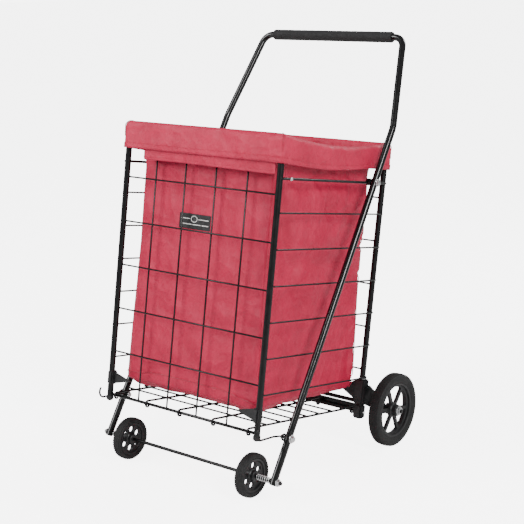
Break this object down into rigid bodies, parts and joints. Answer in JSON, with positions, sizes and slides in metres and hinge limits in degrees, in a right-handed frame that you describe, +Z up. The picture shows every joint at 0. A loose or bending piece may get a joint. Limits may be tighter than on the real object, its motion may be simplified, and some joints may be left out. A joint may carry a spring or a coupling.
{
  "type": "folding shopping trolley",
  "caption": "Folding wire basket trolley on wheels with an open fabric liner, a foam-covered push handle and a fold-up tray.",
  "frame": {"origin": "centre of the whole trolley on the floor under its wheels", "axes": "+X to the right seen from the front, +Y from the basket front towards the push handle, +Z up"},
  "size_m": [0.58, 0.6291, 0.9724],
  "materials": {
    "black_paint": "gloss black powder coat",
    "black_plastic": "moulded satin black",
    "tyre": "matt black rubber with fine tread grooves",
    "grip_foam": "matt black closed-cell foam",
    "zinc": "bright zinc plate",
    "liner": "plain-woven coated polyester, soft sheen"
  },
  "bodies": {
    "root": {"rear_frame_tube": "black_paint", "rear_grid": "black_paint", "rear_cross_channel": "black_paint", "tray_hinge_rod": "black_paint", "rear_axle": "black_paint", "liner_bag": "liner", "rear_corner_bracket_left": "black_plastic", "rear_corner_bracket_right": "black_plastic", "rear_foot_block_left": "black_plastic", "rear_foot_block_right": "black_plastic", "axle_bracket_left": "black_paint", "axle_bracket_right": "black_paint", "rear_axle_nut_left": "zinc", "rear_axle_nut_right": "zinc"},
    "top_side_rods": {"side_rod_left": "black_paint", "side_rod_right": "black_paint", "upper_pivot_bolt_left": "zinc", "upper_pivot_bolt_right": "zinc", "side_rod_rivet_left": "zinc", "side_rod_rivet_right": "zinc"},
    "side_wires_1": {"side_wire_1_left": "black_paint", "side_wire_1_right": "black_paint"},
    "side_wires_2": {"side_wire_2_left": "black_paint", "side_wire_2_right": "black_paint"},
    "side_wires_3": {"side_wire_3_left": "black_paint", "side_wire_3_right": "black_paint"},
    "side_wires_4": {"side_wire_4_left": "black_paint", "side_wire_4_right": "black_paint"},
    "side_wires_5": {"side_wire_5_left": "black_paint", "side_wire_5_right": "black_paint"},
    "side_wires_6": {"side_wire_6_left": "black_paint", "side_wire_6_right": "black_paint"},
    "front_panel": {"front_frame_tube": "black_paint", "front_grid": "black_paint", "front_corner_gusset_left": "black_plastic", "front_corner_gusset_right": "black_plastic", "front_foot_cap_left": "black_plastic", "front_foot_cap_right": "black_plastic"},
    "tray": {"tray_frame": "black_paint"},
    "push_handle": {"handle_tube": "black_paint", "foam_grip": "grip_foam", "front_axle": "black_paint", "lower_pivot_bolt_left": "zinc", "lower_pivot_bolt_right": "zinc", "front_axle_nut_left": "zinc", "front_axle_nut_right": "zinc", "axle_spring_left": "zinc", "axle_spring_right": "zinc"},
    "latch_left": {"latch_hook_left": "black_paint"},
    "front_wheel_left": {"front_wheel_rim_left": "black_plastic", "front_wheel_tyre_left": "tyre"},
    "rear_wheel_left": {"rear_wheel_rim_left": "black_plastic", "rear_wheel_tyre_left": "tyre"},
    "latch_right": {"latch_hook_right": "black_paint"},
    "front_wheel_right": {"front_wheel_rim_right": "black_plastic", "front_wheel_tyre_right": "tyre"},
    "rear_wheel_right": {"rear_wheel_rim_right": "black_plastic", "rear_wheel_tyre_right": "tyre"}
  },
  "joints": [
    {"name": "basket_fold", "type": "hinge", "parent": "root", "child": "top_side_rods", "pos_m": [0, 0.19074, 0.63129], "axis": [-1, 0, 0], "range_deg": [0, 75], "deforming": ["liner_bag"]},
    {"name": "side_wires_1_fold", "type": "hinge", "parent": "root", "child": "side_wires_1", "pos_m": [0, 0.17882, 0.56029], "axis": [-1, 0, 0], "range_deg": [-1, 76]},
    {"name": "side_wires_2_fold", "type": "hinge", "parent": "root", "child": "side_wires_2", "pos_m": [0, 0.166, 0.48396], "axis": [-1, 0, 0], "range_deg": [-1, 76]},
    {"name": "side_wires_3_fold", "type": "hinge", "parent": "root", "child": "side_wires_3", "pos_m": [0, 0.15317, 0.40763], "axis": [-1, 0, 0], "range_deg": [-1, 76]},
    {"name": "side_wires_4_fold", "type": "hinge", "parent": "root", "child": "side_wires_4", "pos_m": [0, 0.14035, 0.3313], "axis": [-1, 0, 0], "range_deg": [-1, 76]},
    {"name": "side_wires_5_fold", "type": "hinge", "parent": "root", "child": "side_wires_5", "pos_m": [0, 0.12753, 0.25496], "axis": [-1, 0, 0], "range_deg": [-1, 76]},
    {"name": "side_wires_6_fold", "type": "hinge", "parent": "root", "child": "side_wires_6", "pos_m": [0, 0.11471, 0.17863], "axis": [-1, 0, 0], "range_deg": [-1, 76]},
    {"name": "front_panel_fold", "type": "hinge", "parent": "top_side_rods", "child": "front_panel", "pos_m": [0, -0.19781, 0.69656], "axis": [1, 0, 0], "range_deg": [-1, 76]},
    {"name": "tray_fold", "type": "hinge", "parent": "root", "child": "tray", "pos_m": [0, 0.10069, 0.0952], "axis": [-1, 0, 0], "range_deg": [-1, 76]},
    {"name": "handle_fold", "type": "hinge", "parent": "top_side_rods", "child": "push_handle", "pos_m": [0, 0.11711, 0.64569], "axis": [1, 0, 0], "range_deg": [-1, 96]},
    {"name": "latch_left_swing", "type": "hinge", "parent": "push_handle", "child": "latch_left", "pos_m": [-0.2475, -0.21431, 0.13352], "axis": [-1, 0, 0], "range_deg": [0, 70]},
    {"name": "front_wheel_left_spin", "type": "hinge", "parent": "push_handle", "child": "front_wheel_left", "pos_m": [-0.184, -0.26464, 0.05], "axis": [1, 0, 0], "continuous": true},
    {"name": "rear_wheel_left_spin", "type": "hinge", "parent": "root", "child": "rear_wheel_left", "pos_m": [-0.264, 0.1756, 0.0884], "axis": [1, 0, 0], "continuous": true},
    {"name": "latch_right_swing", "type": "hinge", "parent": "push_handle", "child": "latch_right", "pos_m": [0.2475, -0.21431, 0.13352], "axis": [-1, 0, 0], "range_deg": [0, 70]},
    {"name": "front_wheel_right_spin", "type": "hinge", "parent": "push_handle", "child": "front_wheel_right", "pos_m": [0.184, -0.26464, 0.05], "axis": [1, 0, 0], "continuous": true},
    {"name": "rear_wheel_right_spin", "type": "hinge", "parent": "root", "child": "rear_wheel_right", "pos_m": [0.264, 0.1756, 0.0884], "axis": [1, 0, 0], "continuous": true}
  ],
  "couplings": [
    {"joint": "side_wires_1_fold", "follows": "basket_fold", "ratio": 1},
    {"joint": "side_wires_2_fold", "follows": "basket_fold", "ratio": 1},
    {"joint": "side_wires_3_fold", "follows": "basket_fold", "ratio": 1},
    {"joint": "side_wires_4_fold", "follows": "basket_fold", "ratio": 1},
    {"joint": "side_wires_5_fold", "follows": "basket_fold", "ratio": 1},
    {"joint": "side_wires_6_fold", "follows": "basket_fold", "ratio": 1},
    {"joint": "front_panel_fold", "follows": "basket_fold", "ratio": 1},
    {"joint": "tray_fold", "follows": "basket_fold", "ratio": 1},
    {"joint": "handle_fold", "follows": "basket_fold", "ratio": 1.2667}
  ]
}
